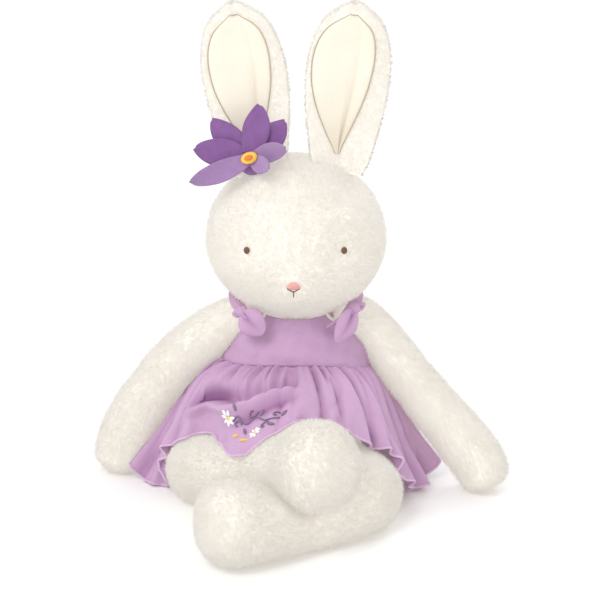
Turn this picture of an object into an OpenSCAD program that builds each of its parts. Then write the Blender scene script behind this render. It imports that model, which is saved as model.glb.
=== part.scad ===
// Seated soft bunny with crossed legs, a gathered dress and a felt flower at one ear.
// +Z is up, the face looks along -Y, and left is the bunny's own left, which is +X.
// The origin is the centre of the seat panel, on the floor. All sizes are in millimetres.

/* [Head] */
// Radius of the head over its plush backing, without the pile
head_r = 54; // [48:0.5:58]
// Width of the head as a share of its height
head_broad = 1.12; // [1:0.01:1.15]
// Height of the head's centre above the floor
head_z = 182; // [180:1:190]
// How far the head's centre sits in front of the seat's centre
head_forward = 6; // [2:1:9]
// Diameter of each embroidered eye
eye_d = 5; // [3:0.5:8]

/* [Ears] */
// Length of each ear from its root to its tip
ear_length = 103; // [80:1:120]
// Widest half width of an ear
ear_half_w = 27; // [18:0.5:30]
// How far the ear's back panel bulges behind its edge
ear_back_bulge = 7; // [4:0.5:9]
// How far the lining sinks in front of the back panel
ear_front_bulge = 4; // [2:0.5:6]

/* [Body] */
// Radius of the round seat panel
seat_r = 32; // [24:1:36]
// Depth of the torso as a share of its width
torso_depth = 0.86; // [0.75:0.01:0.95]
// Thickness of the plush backing
skin_t = 2; // [1:0.1:2.5]
// Diameter of the tail
tail_d = 27; // [22:1:28]

/* [Limbs] */
// Radius of the arms at the hand
hand_r = 16.5; // [14:0.5:18]
// Radius of the legs at the knee
knee_r = 21; // [18:0.5:22]
// Radius of each foot
foot_r = 27; // [22:0.5:27.5]

/* [Dress] */
// Thickness of the dress cotton
cotton_t = 0.8; // [0.5:0.1:1.2]
// Height of the waist seam above the floor
waist_z = 97; // [94:1:100]
// Half width of the dress at the waist seam
waist_half_w = 45; // [44:0.5:46]
// Width of each shoulder strap
strap_w = 8; // [5:0.5:9]

/* [Flower] */
// Thickness of the felt petals
felt_t = 1.4; // [1:0.1:2]
// Half width of each petal
petal_half_w = 7.5; // [5:0.5:9]

/* [Hidden] */

// Gap between pieces that lie against each other
gap = 0.4;
// Angle that each half of a torso or arm covers, leaving a seam on both sides
half_turn = 176;
// Colours of the cloths and threads
cream = [0.96, 0.94, 0.88];
lining_cream = [0.93, 0.89, 0.80];
lilac = [0.78, 0.62, 0.82];
felt_purple = [0.50, 0.33, 0.66];
thread_brown = [0.45, 0.30, 0.22];

head_c = [0, -head_forward, head_z];
neck_z = 123.8;

// Columns around a closed skin, and along half of one
around = 20;
half_cols = 10;
// Rings in each rounded end and along the middle of a limb
cap_n = 4;
mid_n = 9;
// Smallest ring at the tip of a skin, where its last stitch closes it
tip_r = 1.2;

// Torso outline: height and half width at each level
torso_outline = [[2.6, 37], [12, 43], [30, 45], [55, 43], [80, 39], [97, 35], [110, 29.5], [118, 23],
                 [122.5, 15]];
torso_low = torso_outline[0][0];
torso_top = torso_outline[len(torso_outline) - 1][0];
torso_rows = 12;
// Height at which the pellet bag ends and the soft filling begins
split_z = 40;

// Limb spines: centre and radius at evenly spaced places from the root to the tip
right_arm_path = [[-36, 0, 121, 10], [-64, 1, 107, 14.5], [-86, 4, 84, 16], [-105, 7, 58, 17],
                  [-119, 9, 33, hand_r], [-127, 10, 4, hand_r]];
left_arm_path = [[36, 0, 121, 10], [60, -3, 107, 12.5], [77, -8, 84, 14], [95, -14, 60, 15],
                 [117, -22, 33, hand_r], [132, -29, 5, hand_r]];
right_shin_path = [[-76, -32, 19, knee_r], [-62, -48, 25, knee_r], [-42, -75, 36, 20], [-22, -99, 48, 18],
                   [-2, -119, 57.5, 19.5], [16, -136, 63, foot_r], [33, -152, 69, foot_r]];
left_shin_path = [[56, -78, 23, knee_r], [45, -96, 22.5, knee_r], [24, -116, 20, 18], [-2, -132, 19, 17],
                  [-24, -144, 25, 23], [-42, -153, 31, foot_r], [-60, -163, 33, foot_r]];
right_thigh_path = [[-32, -31.5, 24, 17], [-35.5, -34.2, 24.2, 17], [-39, -37, 24.4, 17]];
left_thigh_path = [[26, -36, 25, 18], [32, -52, 24, 20], [40, -72, 23, knee_r]];

// Hem of the skirt: angle from the front towards +X, distance from the axis, and height
hem = [[-180, 90, 3], [-150, 90, 3], [-120, 87, 3], [-100, 84, 3], [-90, 87, 3], [-83, 94, 3],
       [-76, 102, 8], [-67, 103, 41], [-58, 95, 55], [-40, 95, 66], [-30, 101, 74], [-22, 108, 77],
       [-8, 103, 76], [8, 97, 66], [26, 97, 50], [40, 93, 48], [50, 95, 14], [60, 94, 4], [76, 90, 3],
       [90, 88, 3], [115, 88, 3], [150, 90, 3], [180, 90, 3]];

// Petals of the flower: direction in its plane, length, and lift out of that plane
back_petals = [[49, 30, 0], [122, 30, 0], [185, 33, 0], [240, 24, 4]];
front_petals = [[24, 25, 24], [85, 33, 8], [152, 34, 8], [212, 34, 18], [318, 22, 45]];
flower_c = [-29, -26, 240];
flower_tilt = [76, 0, -12];

// Ears: root and tip of each one's spine
right_ear_root = [-25, -3, 243];
right_ear_tip = [-43, 4, 341];
left_ear_root = [30, -3, 243];
left_ear_tip = [40, 4, 341];

// ---- Curves and grids ----

// Smooth curve through the points of a list, u from 0 to 1
function spline(p, u) =
    let (n = len(p) - 1,
         x = max(0, min(u, 0.99999)) * n,
         i = floor(x),
         f = x - i,
         a = p[max(i - 1, 0)],
         b = p[i],
         c = p[i + 1],
         d = p[min(i + 2, n)])
    0.5 * (2 * b + (c - a) * f + (2 * a - 5 * b + 4 * c - d) * f * f + (3 * b - a - 3 * c + d) * f * f * f);

function xyz(v) = [v[0], v[1], v[2]];
function unit(v) = v / norm(v);
function spline_length(p) =
    let (n = 40)
    [for (i = [0 : n - 1]) norm(xyz(spline(p, (i + 1) / n)) - xyz(spline(p, i / n)))]
        * [for (i = [0 : n - 1]) 1];

// Distances along a limb at which its rings lie: close together in the rounded ends
function stations(length, r0, r1) = concat(
    [for (i = [0 : cap_n]) r0 * (1 - cos(90 * i / cap_n))],
    [for (i = [1 : mid_n - 1]) r0 + (length - r0 - r1) * i / mid_n],
    [for (i = [cap_n : -1 : 0]) length - r1 * (1 - cos(90 * i / cap_n))]);

// Share of the full radius at distance s from an end that is rounded over length r
function rounding(s, r) = sqrt(1 - pow(1 - min(max(s, 0) / r, 1), 2));

// One ring across a spine: centre c, direction t, radius r, angles from a0 to a1
function ring(c, t, ref, r, a0, a1, n) =
    let (e = unit(cross(t, ref)), f = cross(t, e))
    [for (j = [0 : n]) c + r * (cos(a0 + (a1 - a0) * j / n) * e + sin(a0 + (a1 - a0) * j / n) * f)];

// Grid of a limb: rings along its spine, rounded at both ends unless an end is open
function limb_grid(p, ref, a0, a1, n, open_start = false, open_end = false) =
    let (length = spline_length(p),
         r0 = p[0][3],
         r1 = p[len(p) - 1][3],
         stops = open_start || open_end
             ? [for (i = [0 : mid_n]) length * i / mid_n]
             : stations(length, r0, r1))
    [for (s = stops)
        let (u = s / length,
             q = spline(p, u),
             t = unit(xyz(spline(p, min(u + 0.01, 1))) - xyz(spline(p, max(u - 0.01, 0)))),
             start = open_start ? 1 : rounding(s, r0),
             end = open_end ? 1 : rounding(length - s, r1),
             r = max(tip_r, q[3] * start * end))
        ring(xyz(q), t, ref, r, a0, a1, n)];

// Direction out of a grid at one of its points
function grid_normal(g, i, j, closed) =
    let (rows = len(g),
         cols = len(g[0]),
         du = g[min(i + 1, rows - 1)][j] - g[max(i - 1, 0)][j],
         dv = closed
             ? g[i][(j + 1) % cols] - g[i][(j + cols - 1) % cols]
             : g[i][min(j + 1, cols - 1)] - g[i][max(j - 1, 0)])
    unit(cross(dv, du));

// Grid moved inwards by d
function inset(g, d, closed = false) =
    [for (i = [0 : len(g) - 1]) [for (j = [0 : len(g[0]) - 1]) g[i][j] - d * grid_normal(g, i, j, closed)]];

function flat(g) = [for (row = g) for (p = row) p];

// Two triangles for each cell of a grid whose points start at index k
function cell_faces(rows, cols, k, closed, flip) =
    [for (i = [0 : rows - 2]) for (j = [0 : closed ? cols - 1 : cols - 2])
        let (a = k + i * cols + j,
             b = k + i * cols + (j + 1) % cols,
             c = b + cols,
             d = a + cols)
        for (tri = [[a, b, c], [a, c, d]]) flip ? [tri[2], tri[1], tri[0]] : tri];

// Strip of triangles between two rows of point indices
function strip_faces(p, q) =
    [for (i = [0 : len(p) - 2]) for (tri = [[p[i], p[i + 1], q[i + 1]], [p[i], q[i + 1], q[i]]]) tri];

// A cloth of the given thickness under a grid; closed joins the last column to the first
module cloth(g, thick, closed = false) {
    rows = len(g);
    cols = len(g[0]);
    k = rows * cols;
    last = (rows - 1) * cols;
    cols_loop = closed ? [for (j = [0 : cols]) j % cols] : [for (j = [0 : cols - 1]) j];
    first_row = cols_loop;
    last_row = [for (j = cols_loop) last + j];
    left_col = [for (i = [0 : rows - 1]) i * cols];
    right_col = [for (i = [0 : rows - 1]) i * cols + cols - 1];
    polyhedron(
        points = concat(flat(g), flat(inset(g, thick, closed))),
        faces = concat(
            cell_faces(rows, cols, 0, closed, false),
            cell_faces(rows, cols, k, closed, true),
            strip_faces([for (a = first_row) a + k], first_row),
            strip_faces(last_row, [for (a = last_row) a + k]),
            closed ? [] : strip_faces(left_col, [for (a = left_col) a + k]),
            closed ? [] : strip_faces([for (a = right_col) a + k], right_col)));
}

// A solid inside a closed grid
module filled(g) {
    rows = len(g);
    cols = len(g[0]);
    k = rows * cols;
    share = [for (j = [1 : cols]) 1 / cols];
    ends = [share * g[0], share * g[rows - 1]];
    polyhedron(
        points = concat(flat(g), ends),
        faces = concat(
            cell_faces(rows, cols, 0, true, false),
            [for (j = [0 : cols - 1]) [k, (j + 1) % cols, j]],
            [for (j = [0 : cols - 1]) [k + 1, k - cols + j, k - cols + (j + 1) % cols]]));
}

// ---- Torso ----

function torso_ring(z, grow, a0, a1, n) =
    let (w = lookup(z, torso_outline) + grow)
    [for (j = [0 : n]) let (a = a0 + (a1 - a0) * j / n) [w * sin(a), -w * torso_depth * cos(a), z]];

// Levels between two heights
function levels(z0, z1, n) = [for (i = [0 : n]) z0 + (z1 - z0) * i / n];

module seat_panel() {
    color(cream) cylinder(h = skin_t, r = seat_r, $fn = 64);
}

module torso_half(a0) {
    rings = [for (z = levels(torso_low, torso_top, torso_rows))
        torso_ring(z, 0, a0, a0 + half_turn, half_cols)];
    color(cream) cloth(rings, skin_t);
}

module torso_front() {
    torso_half(-88);
}

module torso_back() {
    torso_half(92);
}

// The torso's cavity between two levels, as closed rings
function torso_inside(z0, z1, n) =
    let (rings = [for (z = levels(z0, z1, n)) torso_ring(z, 0, 0, 360, around)])
    inset([for (row = rings) [for (j = [0 : around - 1]) row[j]]], skin_t + gap, true);

module torso_fill() {
    color("white") filled(torso_inside(split_z + 2 * gap, torso_top - 1, 8));
}

module pellet_bag() {
    color("beige") filled(torso_inside(torso_low + 2 * gap, split_z, 4));
}

module tail() {
    color(cream) translate([0, 39.5 + tail_d / 2, 24]) sphere(d = tail_d, $fn = 40);
}

// ---- Legs and arms ----

module limb_skin(p, ref, open_start = false, open_end = false) {
    g = limb_grid(p, ref, 0, 360, around, open_start, open_end);
    color(cream) cloth([for (row = g) [for (j = [0 : around - 1]) row[j]]], skin_t, true);
}

module limb_fill(p, ref, open_start = false, open_end = false) {
    g = limb_grid(p, ref, 0, 360, around, open_start, open_end);
    ring_grid = [for (row = g) [for (j = [0 : around - 1]) row[j]]];
    inner = inset(ring_grid, skin_t + gap, true);
    trim = open_start || open_end ? 0 : 1;
    color("white") filled([for (i = [trim : len(inner) - 1 - trim]) inner[i]]);
}

module limb_half(p, ref, a0) {
    color(cream) cloth(limb_grid(p, ref, a0, a0 + half_turn, half_cols), skin_t);
}

up = [0, 0, 1];
back = [0, 1, 0];

module right_thigh_skin() {
    limb_skin(right_thigh_path, up, true, true);
}

module right_thigh_fill() {
    limb_fill(right_thigh_path, up, true, true);
}

module left_thigh_skin() {
    limb_skin(left_thigh_path, up, true, true);
}

module left_thigh_fill() {
    limb_fill(left_thigh_path, up, true, true);
}

module right_shin_skin() {
    limb_skin(right_shin_path, up);
}

module right_shin_fill() {
    limb_fill(right_shin_path, up);
}

module left_shin_skin() {
    limb_skin(left_shin_path, up);
}

module left_shin_fill() {
    limb_fill(left_shin_path, up);
}

module right_arm_outer() {
    limb_half(right_arm_path, back, 91);
}

module right_arm_inner() {
    limb_half(right_arm_path, back, -89);
}

module right_arm_fill() {
    limb_fill(right_arm_path, back);
}

module left_arm_outer() {
    limb_half(left_arm_path, back, -89);
}

module left_arm_inner() {
    limb_half(left_arm_path, back, 91);
}

module left_arm_fill() {
    limb_fill(left_arm_path, back);
}

// ---- Dress ----

bodice_top = 118;
bodice_rows = 6;
bodice_cols = 14;
// How far the bodice stands off the torso at its top, and how much more at the waist
bodice_grow = 4.6;
bodice_flare = 4;
// Half the angle that a panel covers at the waist, the part the armhole takes away, and its lowest level
panel_half = 88;
armhole_cut = 46;
armhole_z = waist_z + 3;

// A bodice panel: full width at the waist, narrowing above it for the armholes
function bodice_grid(facing) =
    [for (z = levels(waist_z + 1, bodice_top, bodice_rows))
        let (half = panel_half - armhole_cut * max(0, (z - armhole_z) / (bodice_top - armhole_z)),
             grow = bodice_grow + bodice_flare * (bodice_top - z) / (bodice_top - waist_z))
        torso_ring(z, grow, facing - half, facing + half, bodice_cols)];

module bodice_front() {
    color(lilac) cloth(bodice_grid(0), cotton_t);
}

module bodice_back() {
    color(lilac) cloth(bodice_grid(180), cotton_t);
}

// A level ellipse around the waist
function waist_ring(z, grow) =
    [for (a = [0 : 10 : 350])
        [(waist_half_w + grow) * sin(a), -(waist_half_w * torso_depth + grow) * cos(a), z]];

waistband_h = 5;

module waistband() {
    rings = [for (z = levels(waist_z, waist_z + waistband_h, 3)) waist_ring(z, 1)];
    color(lilac) cloth(rings, cotton_t, true);
}

function hem_at(a) =
    let (d = [for (h = hem) [h[0], h[1]]], z = [for (h = hem) [h[0], h[2]]])
    [lookup(a, d), lookup(a, z)];

// Height of the hem above the floor where the skirt lies on it, and how much higher it is over the lap
floor_hem = 3;
lap_rise = 70;

// A point of the skirt: angle a from the front, u from the waist to the hem.
// Over the lap the cloth first runs outwards, and elsewhere it falls more directly.
function skirt_point(a, u) =
    let (h = hem_at(a),
         w = norm([waist_half_w * sin(a), waist_half_w * torso_depth * cos(a)]),
         top = waist_z - 1,
         lap = (h[1] - floor_hem) / lap_rise,
         r_mid = w + (h[0] - w) * (0.28 + 0.3 * lap),
         z_mid = top + (h[1] - top) * (0.56 - 0.5 * lap),
         r = w * (1 - u) * (1 - u) + 2 * r_mid * u * (1 - u) + h[0] * u * u,
         z = top * (1 - u) * (1 - u) + 2 * z_mid * u * (1 - u) + h[1] * u * u)
    [r * sin(a), -r * cos(a), z];

skirt_rows = 9;
skirt_cols = 30;

function skirt_grid(a0, a1) =
    [for (i = [skirt_rows : -1 : 0]) [for (j = [0 : skirt_cols])
        skirt_point(a0 + (a1 - a0) * j / skirt_cols, i / skirt_rows)]];

module skirt_front() {
    color(lilac) cloth(skirt_grid(-89.6, 89.6), cotton_t);
}

// Angles past the back seam run from 90 to 270, and the hem list from -180 to 180
function skirt_back_grid() =
    [for (i = [skirt_rows : -1 : 0]) [for (j = [0 : skirt_cols])
        let (a = 90.4 + 179.2 * j / skirt_cols)
        skirt_point(a > 180 ? a - 360 : a, i / skirt_rows)]];

module skirt_back() {
    color(lilac) cloth(skirt_back_grid(), cotton_t);
}

// Distance of each strap from the middle, and its course over the shoulder: depth and height
strap_x = 24;
strap_course = [[-29, 119.5], [-24, 122.5], [-13, 124.5], [0, 125], [13, 124.5], [24, 122.5], [29, 119.5]];

// A strap over one shoulder, from the front of the bodice to its back
module strap(side) {
    x = side * strap_x;
    color(lilac)
        cloth([for (s = [strap_w / 2, -strap_w / 2]) [for (p = strap_course) [x + s, p[0], p[1]]]], cotton_t);
}

module right_strap() {
    strap(-1);
}

module left_strap() {
    strap(1);
}

knot_d = 9;
knot_place = [35, -24, 119];

module knot(side) {
    color(lilac) translate([side * knot_place[0], knot_place[1], knot_place[2]])
        sphere(d = knot_d, $fn = 24);
}

module right_knot() {
    knot(-1);
}

module left_knot() {
    knot(1);
}

// Half width and thickness of a tie end, and the radius of its two edges as a share of its length
tie_half_w = 6.5;
tie_t = 1.2;
tie_edge = 0.62;

// A leaf-shaped tie end lying against the bodice: where two circles overlap
module tie(place, turn, length) {
    r = length * tie_edge;
    color(lilac) translate(place) rotate(turn) linear_extrude(tie_t) intersection() {
        translate([r - tie_half_w, 0]) circle(r, $fn = 48);
        translate([tie_half_w - r, 0]) circle(r, $fn = 48);
    }
}

module right_tie() {
    tie([-26, -37.5, 112], [76, 0, -30], 22);
}

module left_tie() {
    tie([29, -37, 109], [76, -14, 34], 26);
}

// Stands its children on the skirt at angle a and distance u, along the cloth's outward direction
module on_skirt(a, u) {
    p = skirt_point(a, u);
    across = unit(skirt_point(a + 2, u) - skirt_point(a - 2, u));
    down = unit(skirt_point(a, u + 0.02) - skirt_point(a, u - 0.02));
    out = unit(cross(down, across));
    y_axis = cross(out, across);
    q = p + 0.9 * out;
    multmatrix([[across[0], y_axis[0], out[0], q[0]],
                [across[1], y_axis[1], out[1], q[1]],
                [across[2], y_axis[2], out[2], q[2]]])
        children();
}

// Height of the embroidery above the cloth
stitch_t = 0.6;

module daisy(r) {
    color("white") linear_extrude(stitch_t) {
        circle(r * 0.3, $fn = 24);
        for (k = [0 : 6])
            rotate(k * 360 / 7)
                translate([r * 0.55, 0])
                    circle(r * 0.3, $fn = 16);
    }
}

module large_daisy() {
    on_skirt(-31, 0.72) daisy(6);
}

module small_daisy() {
    on_skirt(-18, 0.86) daisy(4.5);
}

// Open arc of a flat stitched line
module stitched_arc(r, w) {
    difference() {
        circle(r + w / 2, $fn = 48);
        circle(r - w / 2, $fn = 48);
        translate([0, -r * 2]) square([r * 4, r * 4]);
    }
}

scroll_r = 6;
scroll_w = 1.6;

module stitched_scroll() {
    color("indigo") on_skirt(-16, 0.62) linear_extrude(stitch_t) {
        stitched_arc(scroll_r, scroll_w);
        translate([0, 2 * scroll_r]) mirror([1, 0]) stitched_arc(scroll_r, scroll_w);
    }
}

// ---- Neck and head ----

// Radius of the seam between the head and the torso, and of its thread
neck_r = 11;
neck_thread_r = 0.9;

module neck_seam() {
    color("white") translate([head_c[0], head_c[1], neck_z])
        rotate_extrude($fn = 64) translate([neck_r, 0]) circle(neck_thread_r, $fn = 20);
}

module head_shell(side) {
    cut = 200;
    color(cream) translate(head_c) difference() {
        scale([head_broad, 1, 1]) sphere(head_r, $fn = 80);
        scale([head_broad, 1, 1]) sphere(head_r - skin_t, $fn = 80);
        translate([-cut / 2, side > 0 ? -gap / 2 : gap / 2 - cut, -cut / 2]) cube(cut);
    }
}

module head_face() {
    head_shell(1);
}

module head_back() {
    head_shell(-1);
}

module head_fill() {
    color("white") translate(head_c) scale([head_broad, 1, 1]) sphere(head_r - skin_t - gap, $fn = 80);
}

// Stands its children on the head: turn towards +X, tilt above the level of the head's centre
module on_head(turn, tilt, lift) {
    way = [head_broad * cos(tilt) * sin(turn), -cos(tilt) * cos(turn), sin(tilt)];
    facing = atan2(sin(turn) / head_broad, cos(turn));
    translate(head_c + head_r * way) rotate([0, 0, facing]) rotate([90 - tilt, 0, 0])
        translate([0, 0, lift]) children();
}

module eye(side) {
    color(thread_brown) on_head(side * 32, 2, 0.6)
        cylinder(h = 1.4, d1 = eye_d, d2 = eye_d * 0.6, $fn = 32);
}

module right_eye() {
    eye(-1);
}

module left_eye() {
    eye(1);
}

module nose() {
    color("pink") on_head(-1.5, -21, 1) linear_extrude(1.4) hull() {
        translate([-3, 0.8]) circle(1.3, $fn = 24);
        translate([3, 0.8]) circle(1.3, $fn = 24);
        circle(1.6, $fn = 24);
    }
}

module mouth_stitch() {
    color(thread_brown) on_head(-1.5, -27.5, 0.6) linear_extrude(0.8) {
        translate([-0.5, -2]) square([1, 5]);
        translate([-3.5, -2.8]) square([7, 0.9]);
    }
}

// ---- Flower ----

// Edge points from one side of a petal's root to the other: share of its length, and of its half width
petal_steps = [[0, -0.6], [0.25, -0.95], [0.5, -0.95], [0.78, -0.55], [1, 0],
               [0.78, 0.55], [0.5, 0.95], [0.25, 0.95], [0, 0.6]];
petal_root = 11;
// Radius of the hole at the middle of each layer, and its rings out to the petals' edges
hub_r = 1.5;
petal_rows = 5;

// Edge points of one felt petal: direction, length, and lift out of the flower's plane
function petal_edge(turn, length, lift) =
    [for (step = petal_steps)
        let (out = (length - petal_root) * step[0],
             x = petal_root + out,
             y = petal_half_w * step[1])
        [x * cos(turn) - y * sin(turn), x * sin(turn) + y * cos(turn), out * tan(lift)]];

// One die-cut layer of petals: a felt sheet around the flower's middle, raised to the height base
module petal_ring(list, base) {
    edge = [for (p = list) for (q = petal_edge(p[0], p[1], p[2])) q];
    cols = len(edge);
    g = [for (i = [0 : petal_rows])
        let (v = i / petal_rows)
        [for (q = edge)
            let (r = norm([q[0], q[1]]),
                 reach = hub_r + (r - hub_r) * v)
            [q[0] * reach / r, q[1] * reach / r, base + q[2] * v * v]]];
    k = len(g) * cols;
    inner = [for (j = [0 : cols]) j % cols];
    outer = [for (j = inner) k - cols + j];
    color(felt_purple) flower_frame() polyhedron(
        points = concat(flat(g), [for (q = flat(g)) q + [0, 0, felt_t]]),
        faces = concat(
            cell_faces(len(g), cols, 0, true, true),
            cell_faces(len(g), cols, k, true, false),
            strip_faces(inner, [for (j = inner) j + k]),
            strip_faces([for (j = outer) j + k], outer)));
}

module flower_frame() {
    translate(flower_c) rotate(flower_tilt) children();
}

module flower_back_petals() {
    petal_ring(back_petals, 1.5);
}

module flower_front_petals() {
    petal_ring(front_petals, 3.6);
}

module flower_centre() {
    color("gold") flower_frame() translate([0, 0, 7.6]) scale([5.6, 4, 2]) sphere(1, $fn = 32);
}

// ---- Ears ----

// Lengths over which an ear rounds off at its tip and narrows at its root
ear_tip_round = 26;
ear_root_round = 14;
ear_back_t = 2.2;
ear_lining_t = 1.2;
// Rings along an ear, columns across it, and its smallest half width
ear_rows = 12;
ear_cols = 8;
ear_least = 1.5;

// Half width of an ear at t from its root to its tip: narrow at the root and widest past its middle
function ear_width(t) =
    ear_half_w * (0.70 + 0.38 * sin(150 * t))
    * rounding((1 - t) * ear_length, ear_tip_round)
    * rounding(t * ear_length + 5, ear_root_round);

function ear_grid(root, tip, bulge, flip) =
    let (axis = tip - root, side = unit(cross([0, -1, 0], axis)))
    [for (i = [0 : ear_rows])
        let (t = i / ear_rows, w = max(ear_least, ear_width(t)), c = root + axis * t)
        [for (j = [0 : ear_cols])
            let (s = flip * (2 * j / ear_cols - 1))
            c + s * w * side + [0, bulge * sqrt(max(0, 1 - s * s)) * min(1, w / ear_root_round), 0]]];

module ear_back(root, tip) {
    color(cream) cloth(ear_grid(root, tip, ear_back_bulge, -1), ear_back_t);
}

module ear_lining(root, tip) {
    color(lining_cream) translate([0, -ear_back_t - gap, 0])
        cloth(ear_grid(root, tip, -ear_front_bulge, 1), ear_lining_t);
}

module right_ear_back() {
    ear_back(right_ear_root, right_ear_tip);
}

module right_ear_lining() {
    ear_lining(right_ear_root, right_ear_tip);
}

module left_ear_back() {
    ear_back(left_ear_root, left_ear_tip);
}

module left_ear_lining() {
    ear_lining(left_ear_root, left_ear_tip);
}

seat_panel();
torso_front();
torso_back();
torso_fill();
pellet_bag();
tail();
right_thigh_skin();
right_thigh_fill();
left_thigh_skin();
left_thigh_fill();
bodice_front();
bodice_back();
waistband();
skirt_front();
skirt_back();
right_strap();
left_strap();
right_knot();
left_knot();
right_tie();
left_tie();
large_daisy();
small_daisy();
stitched_scroll();
neck_seam();
head_face();
head_back();
head_fill();
right_eye();
left_eye();
nose();
mouth_stitch();
flower_back_petals();
flower_front_petals();
flower_centre();
right_ear_back();
right_ear_lining();
left_ear_back();
left_ear_lining();
right_arm_outer();
right_arm_inner();
right_arm_fill();
left_arm_outer();
left_arm_inner();
left_arm_fill();
right_shin_skin();
right_shin_fill();
left_shin_skin();
left_shin_fill();
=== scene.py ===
# %% [markdown]
# # A seated plush bunny in a cotton dress
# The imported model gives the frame: where each part sits and how it moves. This lesson dresses that frame.
# Plush is made as the real cloth is: a smooth backing with thousands of short locks of pile standing on it.
# The dress is one thin gathered sheet, and the flower is thick felt. Every surface is a numpy grid.

import bpy
import numpy as np
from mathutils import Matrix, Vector


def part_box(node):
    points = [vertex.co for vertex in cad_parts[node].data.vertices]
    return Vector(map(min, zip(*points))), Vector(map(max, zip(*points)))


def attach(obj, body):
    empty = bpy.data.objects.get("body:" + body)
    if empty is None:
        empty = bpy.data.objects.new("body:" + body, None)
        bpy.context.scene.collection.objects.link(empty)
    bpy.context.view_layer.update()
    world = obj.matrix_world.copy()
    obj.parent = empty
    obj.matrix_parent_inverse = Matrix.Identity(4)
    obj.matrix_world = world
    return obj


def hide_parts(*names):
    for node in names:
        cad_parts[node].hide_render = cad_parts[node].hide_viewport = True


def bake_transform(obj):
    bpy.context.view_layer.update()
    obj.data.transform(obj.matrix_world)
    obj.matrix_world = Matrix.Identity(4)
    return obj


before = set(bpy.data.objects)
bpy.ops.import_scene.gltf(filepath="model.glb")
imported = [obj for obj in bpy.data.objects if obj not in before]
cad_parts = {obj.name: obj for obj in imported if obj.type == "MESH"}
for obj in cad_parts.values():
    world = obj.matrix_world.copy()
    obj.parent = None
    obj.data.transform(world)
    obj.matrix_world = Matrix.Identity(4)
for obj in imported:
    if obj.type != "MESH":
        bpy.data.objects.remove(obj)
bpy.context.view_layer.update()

# %% [markdown]
# ## Small tools for surfaces
# Shapes are worked out in millimetres, and one place turns them into metres. A stuffed limb is a curve with a
# thickness: a few control points, each with a radius, and a smooth curve that passes through all of them.

# %% Curves
MM = 0.001


def along(points, t):
    """Smooth curve through the rows of points, t from 0 to 1.

    Each stretch is a cubic whose slope at a point is half the step between that point's neighbours."""
    p = np.asarray(points, float)
    last = len(p) - 1
    x = np.clip(t, 0, 1 - 1e-9) * last
    i = x.astype(int)
    f = (x - i)[:, None]
    a, b, c, d = p[np.maximum(i - 1, 0)], p[i], p[i + 1], p[np.minimum(i + 2, last)]
    square, cube = 2 * a - 5 * b + 4 * c - d, 3 * b - a - 3 * c + d
    return 0.5 * (2 * b + (c - a) * f + square * f**2 + cube * f**3)


def unit(v):
    """Each vector divided by its length."""
    return v / np.maximum(np.linalg.norm(v, axis=-1, keepdims=True), 1e-12)


def ease(t):
    """0 below 0, 1 above 1, and 3t^2 - 2t^3 between."""
    t = np.clip(t, 0, 1)
    return t * t * (3 - 2 * t)


def rounded(x, least=0):
    """A ball's half width at x radii from its end: sqrt(1 - (1 - x)^2), and 1 beyond the first radius."""
    return np.sqrt(np.clip(1 - (1 - np.minimum(x, 1)) ** 2, least, 1))


def circle(count):
    """Even angles once round, in radians, as one row."""
    return np.linspace(0, 2 * np.pi, count, endpoint=False)[None]


def rings(line, ahead, ref, radius, cols):
    """Circles square to a line: each centre, plus the radius times (cosine along e + sine along ahead x e).

    The direction e is the cross product of ahead and a reference direction."""
    e = unit(np.cross(ahead, ref))[:, None]
    turn = circle(cols)[..., None]
    return line[:, None] + radius * (np.cos(turn) * e + np.sin(turn) * np.cross(ahead[:, None], e))


def lumps(points, size, seed):
    """Gentle unevenness from -1 to 1: a sum of sine waves of about the given size in random directions."""
    random = np.random.default_rng(seed)
    turns = unit(random.normal(size=(7, 3))) * (2 * np.pi / size) * random.uniform(0.7, 1.5, (7, 1))
    return np.sin(points @ turns.T + random.uniform(0, 6.28, 7)).sum(-1) / 3.2


# %% [markdown]
# ## From grids to meshes
# A grid of points becomes quads. A closed form wraps its last column round to its first, and its end rings
# close at a pole. A cloth has two sides: the same grid again, moved inwards by its thickness, and a strip
# round the edge.

# %% Grids
def grid_normals(grid, wrap):
    """Unit normals of a grid: the step across it times the step along it, at every point."""
    du = np.gradient(grid, axis=0)
    dv = np.roll(grid, -1, 1) - np.roll(grid, 1, 1) if wrap else np.gradient(grid, axis=1)
    return unit(np.cross(dv, du))


def cell_areas(grid):
    """The area of each cell: half the length of the cross product of its diagonals."""
    falling, rising = grid[1:, 1:] - grid[:-1, :-1], grid[1:, :-1] - grid[:-1, 1:]
    return 0.5 * np.linalg.norm(np.cross(falling, rising), axis=-1)


def between(grid, i, j, u, v):
    """Values at the shares u and v of the cell in row i and column j, from its four corners."""
    left, right = j % grid.shape[1], (j + 1) % grid.shape[1]
    upper = grid[i, left] * (1 - v) + grid[i, right] * v
    lower = grid[i + 1, left] * (1 - v) + grid[i + 1, right] * v
    return upper * (1 - u) + lower * u


def quads(index, wrap=False):
    """Faces between the rows and columns of a table of point numbers."""
    index = np.hstack([index, index[:, :1]]) if wrap else index
    return np.stack([index[:-1, :-1], index[:-1, 1:], index[1:, 1:], index[1:, :-1]], -1).reshape(-1, 4)


def closed(grid):
    """A wrapped grid with both ends closed by a fan of triangles round a pole."""
    rows, cols = grid.shape[:2]
    index = np.arange(rows * cols).reshape(rows, cols)
    points = np.vstack([grid.reshape(-1, 3), grid[:1].mean(1), grid[-1:].mean(1)])
    first, last = np.full(cols, rows * cols), np.full(cols, rows * cols + 1)
    start = np.stack([first, np.roll(index[0], -1), index[0]], 1)
    end = np.stack([last, index[-1], np.roll(index[-1], -1)], 1)
    return [(points, quads(index, True)), (points[:0], np.vstack([start, end]) - len(points))]


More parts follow.
